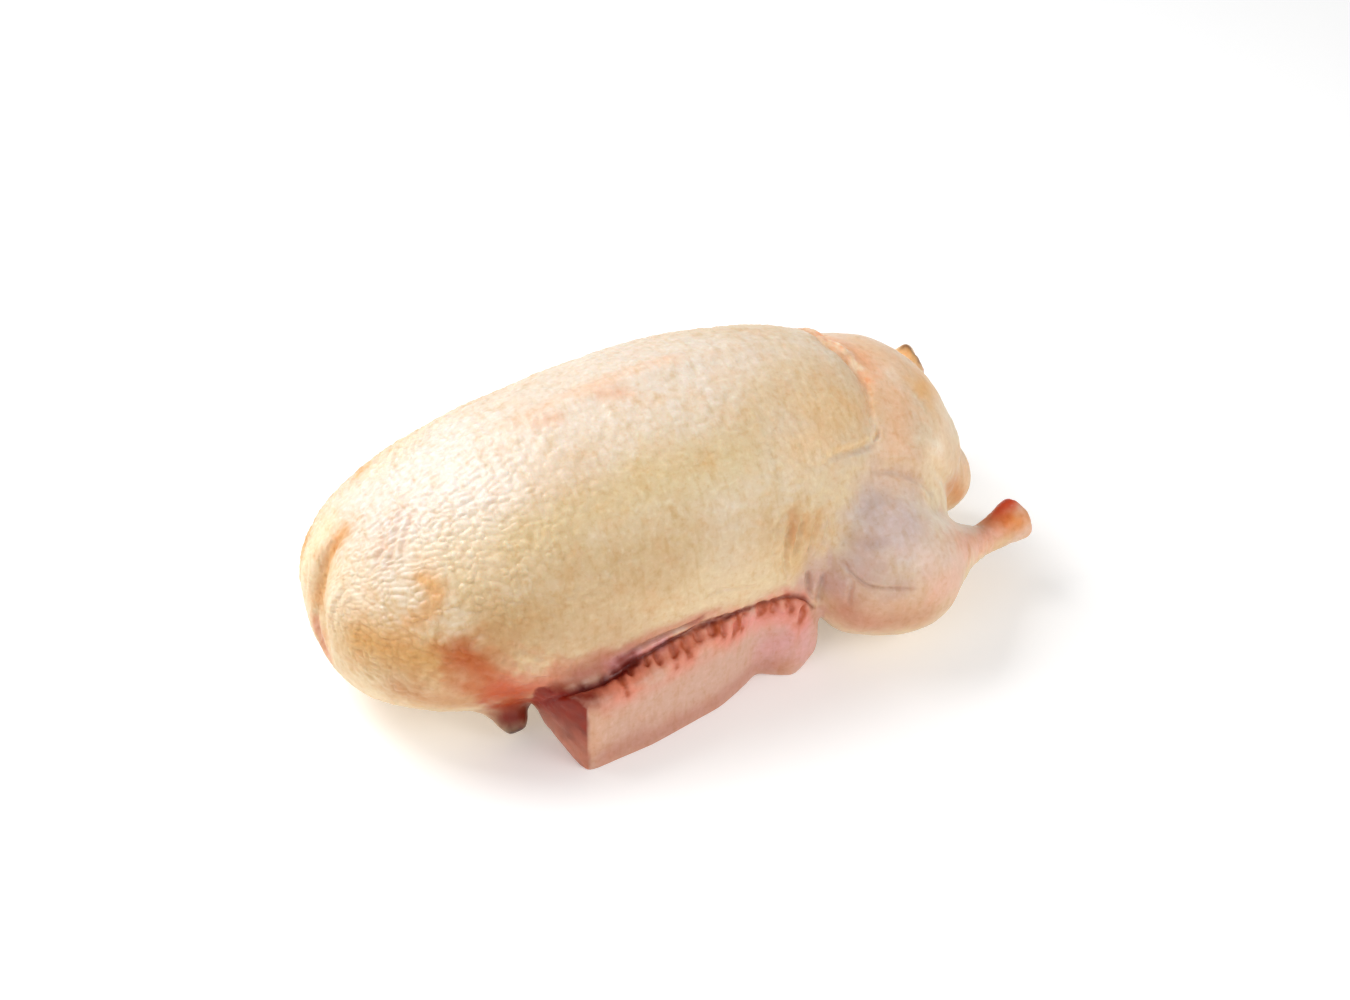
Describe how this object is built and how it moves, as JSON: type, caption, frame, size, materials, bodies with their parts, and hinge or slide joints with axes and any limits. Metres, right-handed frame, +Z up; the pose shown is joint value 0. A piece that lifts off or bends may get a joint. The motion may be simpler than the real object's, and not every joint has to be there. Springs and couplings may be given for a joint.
{
  "type": "whole raw goose",
  "caption": "Whole raw goose, plucked and drawn, lying breast up with its wings folded under and its legs drawn back.",
  "frame": {"origin": "centre of the bird's bounding box in X and Y, on the surface it rests on", "axes": "+X from the neck end to the tail, +Y towards the far side of the picture, +Z up towards the breast bone"},
  "size_m": [0.4498, 0.2498, 0.1815],
  "materials": {
    "skin": "moist, fatty, pimpled raw skin"
  },
  "bodies": {
    "root": {"goose": "skin"}
  },
  "joints": []
}
